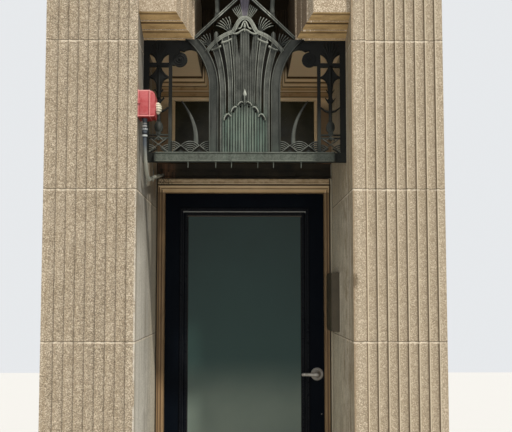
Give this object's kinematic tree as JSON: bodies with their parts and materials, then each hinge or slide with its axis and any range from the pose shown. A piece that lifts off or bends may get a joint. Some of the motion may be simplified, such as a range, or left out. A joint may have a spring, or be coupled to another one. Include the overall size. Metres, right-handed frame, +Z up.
{
  "type": "entrance bay",
  "caption": "Entrance bay with a hinged glazed door deep in a stone recess between fluted piers, a window over the door and an ornamental metal grille in front of it",
  "frame": {"origin": "on the ground under the middle of the door frame, half way through its depth", "axes": "+X to the right as one faces the door from outside, +Y into the wall, +Z up"},
  "size_m": [2.08, 1.296, 3.618],
  "materials": {
    "pier_stone": "matte",
    "head_stone": "matte",
    "frame_paint": "satin",
    "door_paint": "gloss",
    "moulding_paint": "gloss",
    "door_glass": "gloss",
    "window_glass": "gloss",
    "window_frame_paint": "satin",
    "transom_paint": "satin",
    "weathered_bronze": "matte",
    "red_plastic": "satin",
    "lens_plastic": "gloss",
    "conduit_metal": "satin",
    "dark_box_metal": "satin",
    "threshold_metal": "satin",
    "furniture_metal": "satin"
  },
  "bodies": {
    "surround": {"left_pier": "pier_stone", "right_pier": "pier_stone", "left_head_stone": "head_stone", "right_head_stone": "head_stone", "slot_lintel": "head_stone", "frame_left_jamb": "frame_paint", "frame_right_jamb": "frame_paint", "frame_head": "frame_paint", "threshold": "threshold_metal", "hinge_frame_side": "furniture_metal", "hinge_pins": "furniture_metal", "strike_plate": "furniture_metal", "transom_rail": "transom_paint", "window_left_stile": "window_frame_paint", "window_right_stile": "window_frame_paint", "window_left_moulding": "window_frame_paint", "window_right_moulding": "window_frame_paint", "slot_frame_head": "window_frame_paint", "window_glass": "window_glass", "grille_bottom_bar": "weathered_bronze", "grille_left_side_frame": "weathered_bronze", "grille_right_side_frame": "weathered_bronze", "grille_left_leg": "weathered_bronze", "grille_right_leg": "weathered_bronze", "grille_shaft": "weathered_bronze", "grille_reeded_plate": "weathered_bronze", "grille_left_ribs": "weathered_bronze", "grille_right_ribs": "weathered_bronze", "grille_yoke": "weathered_bronze", "grille_sloping_rails": "weathered_bronze", "grille_fans": "weathered_bronze", "grille_upper_bars": "weathered_bronze", "grille_left_waves": "weathered_bronze", "grille_right_waves": "weathered_bronze", "alarm_back_box": "red_plastic", "alarm_horn": "red_plastic", "alarm_lens": "lens_plastic", "alarm_conduit": "conduit_metal", "reveal_box": "dark_box_metal"},
    "door": {"hinge_door_side": "furniture_metal", "hinge_stile": "door_paint", "latch_stile": "door_paint", "top_rail": "door_paint", "bottom_rail": "door_paint", "outside_glass_moulding": "moulding_paint", "inside_glass_bead": "moulding_paint", "door_glass": "door_glass", "latch_face_plate": "furniture_metal", "outside_rose": "furniture_metal", "inside_rose": "furniture_metal"},
    "lever": {"lever_handle": "furniture_metal"}
  },
  "joints": [
    {"name": "door_swing", "type": "hinge", "parent": "surround", "child": "door", "pos_m": [-0.5225, 0.074, 1], "axis": [0, 0, 1], "range_deg": [0, 90]},
    {"name": "lever_turn", "type": "hinge", "parent": "door", "child": "lever", "pos_m": [0.462, 0.0425, 0.995], "axis": [0, -1, 0], "range_deg": [0, 45], "stiffness_Nm_per_rad": 1.5, "springref_deg": -22.92}
  ]
}
